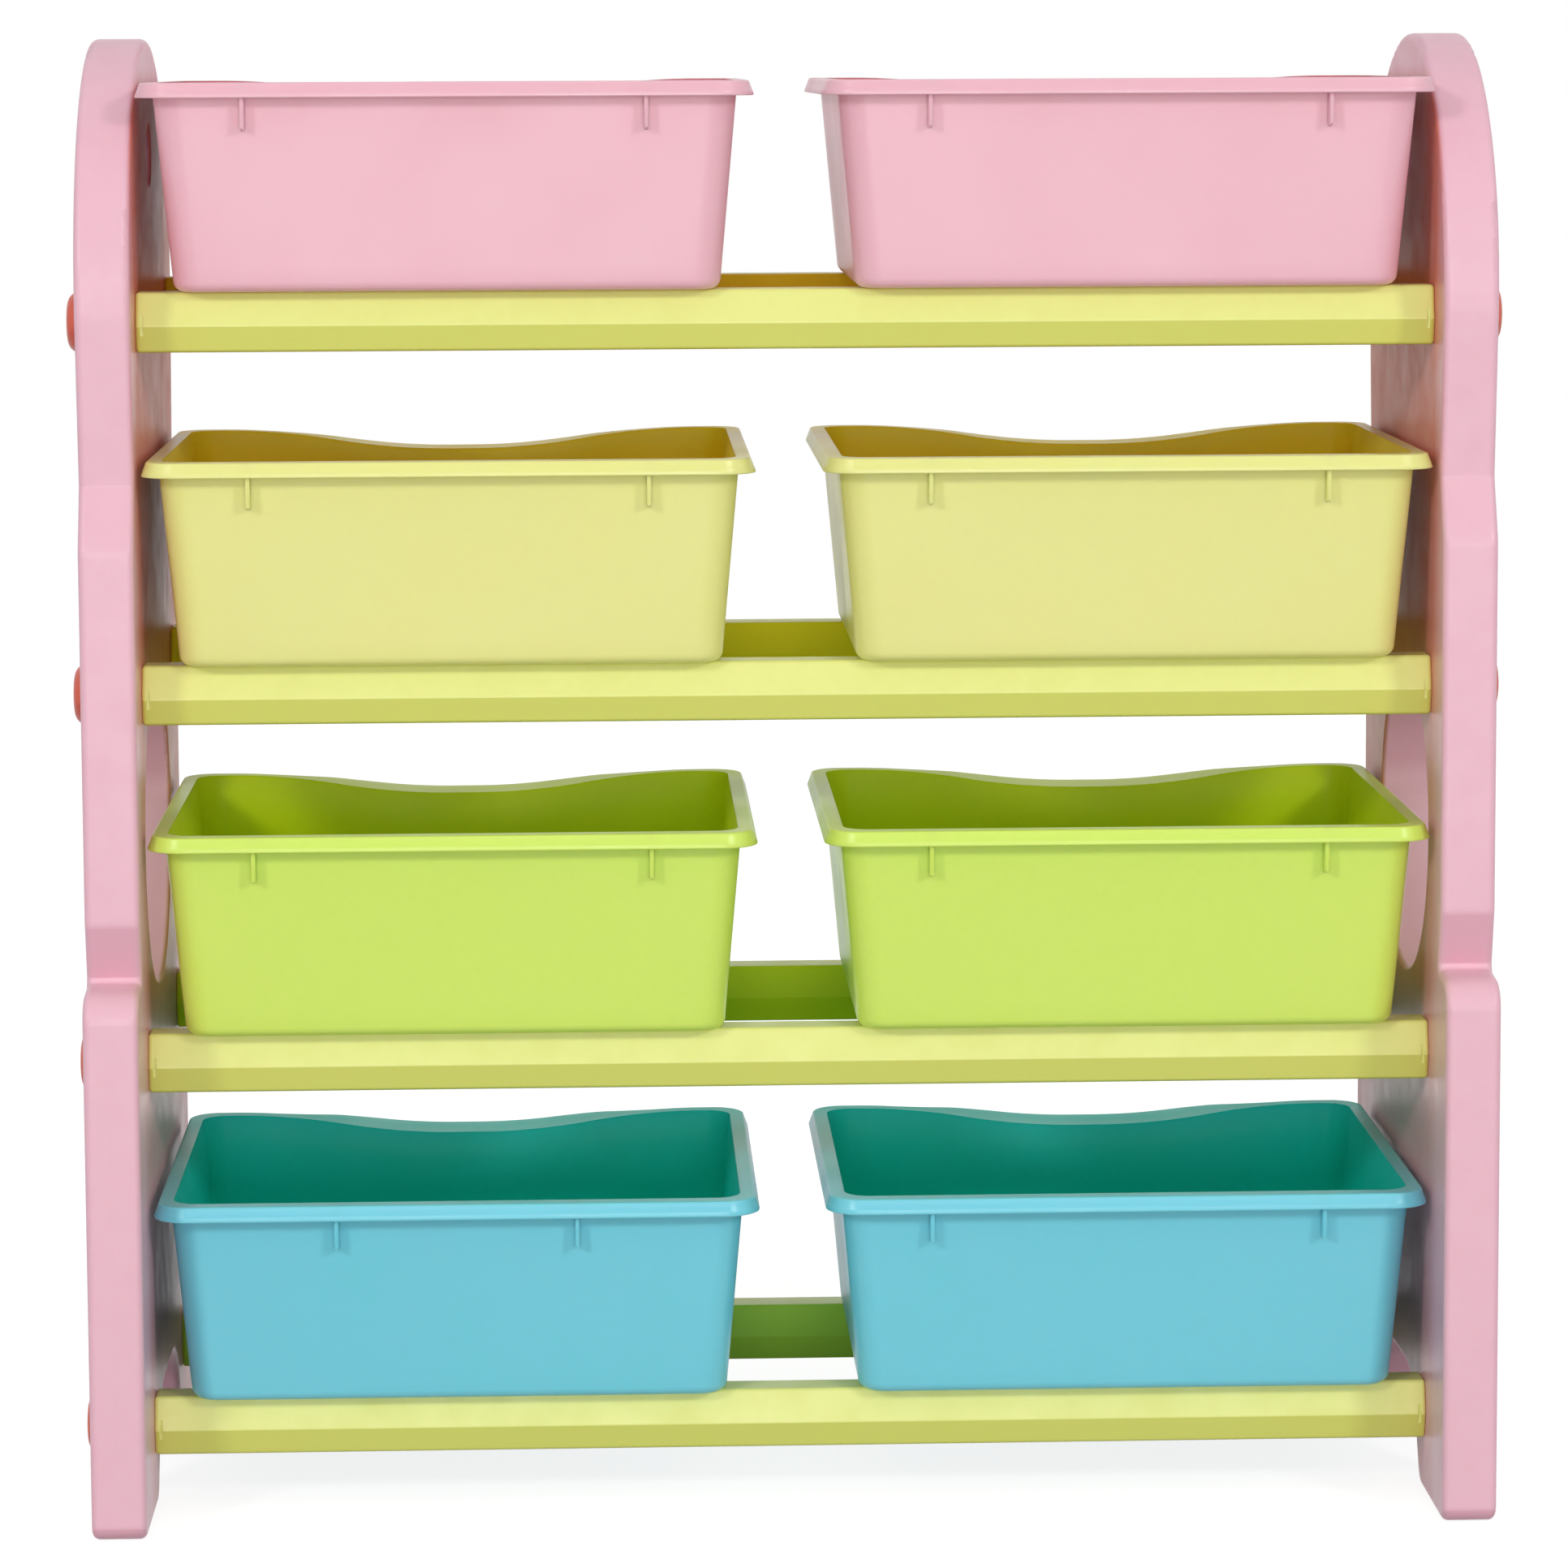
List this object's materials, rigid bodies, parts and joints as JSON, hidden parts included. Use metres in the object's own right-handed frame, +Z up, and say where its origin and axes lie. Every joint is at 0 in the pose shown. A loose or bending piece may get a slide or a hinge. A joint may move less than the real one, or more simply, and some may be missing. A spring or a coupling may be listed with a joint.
{
  "type": "toy storage organizer",
  "caption": "Four-tier toy storage rack: two arched hollow side panels joined by rails, with rows of open pull-out bins resting on the rails.",
  "frame": {"origin": "on the floor, under the middle of the organizer's width and depth", "axes": "+Z up (rests on its feet), +X to the right seen from the front, the front and the bins' pull-out side face -Y"},
  "size_m": [0.86, 0.374, 0.8935],
  "materials": {
    "panel_pink": "satin blow-moulded polyethylene",
    "rail_yellow": "satin blow-moulded polyethylene",
    "screw_red": "glossy moulded plastic",
    "bin_pink": "glossy injection-moulded polypropylene",
    "bin_yellow": "glossy injection-moulded polypropylene",
    "bin_green": "glossy injection-moulded polypropylene",
    "bin_blue": "glossy injection-moulded polypropylene"
  },
  "bodies": {
    "rack": {"left_side_panel": "panel_pink", "right_side_panel": "panel_pink", "bottom_front_rail": "rail_yellow", "bottom_rear_rail": "rail_yellow", "lower_front_rail": "rail_yellow", "lower_rear_rail": "rail_yellow", "upper_front_rail": "rail_yellow", "upper_rear_rail": "rail_yellow", "top_front_rail": "rail_yellow", "top_rear_rail": "rail_yellow", "left_front_screws": "screw_red", "left_rear_screws": "screw_red", "right_front_screws": "screw_red", "right_rear_screws": "screw_red"},
    "bottom_left_bin_body": {"bottom_left_bin": "bin_blue"},
    "bottom_right_bin_body": {"bottom_right_bin": "bin_blue"},
    "lower_left_bin_body": {"lower_left_bin": "bin_green"},
    "lower_right_bin_body": {"lower_right_bin": "bin_green"},
    "upper_left_bin_body": {"upper_left_bin": "bin_yellow"},
    "upper_right_bin_body": {"upper_right_bin": "bin_yellow"},
    "top_left_bin_body": {"top_left_bin": "bin_pink"},
    "top_right_bin_body": {"top_right_bin": "bin_pink"}
  },
  "joints": [
    {"name": "bottom_left_bin_slide", "type": "slide", "parent": "rack", "child": "bottom_left_bin_body", "axis": [0, -1, 0], "range_m": [0, 0.22]},
    {"name": "bottom_right_bin_slide", "type": "slide", "parent": "rack", "child": "bottom_right_bin_body", "axis": [0, -1, 0], "range_m": [0, 0.22]},
    {"name": "lower_left_bin_slide", "type": "slide", "parent": "rack", "child": "lower_left_bin_body", "axis": [0, -1, 0], "range_m": [0, 0.22]},
    {"name": "lower_right_bin_slide", "type": "slide", "parent": "rack", "child": "lower_right_bin_body", "axis": [0, -1, 0], "range_m": [0, 0.22]},
    {"name": "upper_left_bin_slide", "type": "slide", "parent": "rack", "child": "upper_left_bin_body", "axis": [0, -1, 0], "range_m": [0, 0.22]},
    {"name": "upper_right_bin_slide", "type": "slide", "parent": "rack", "child": "upper_right_bin_body", "axis": [0, -1, 0], "range_m": [0, 0.22]},
    {"name": "top_left_bin_slide", "type": "slide", "parent": "rack", "child": "top_left_bin_body", "axis": [0, -1, 0], "range_m": [0, 0.22]},
    {"name": "top_right_bin_slide", "type": "slide", "parent": "rack", "child": "top_right_bin_body", "axis": [0, -1, 0], "range_m": [0, 0.22]}
  ]
}
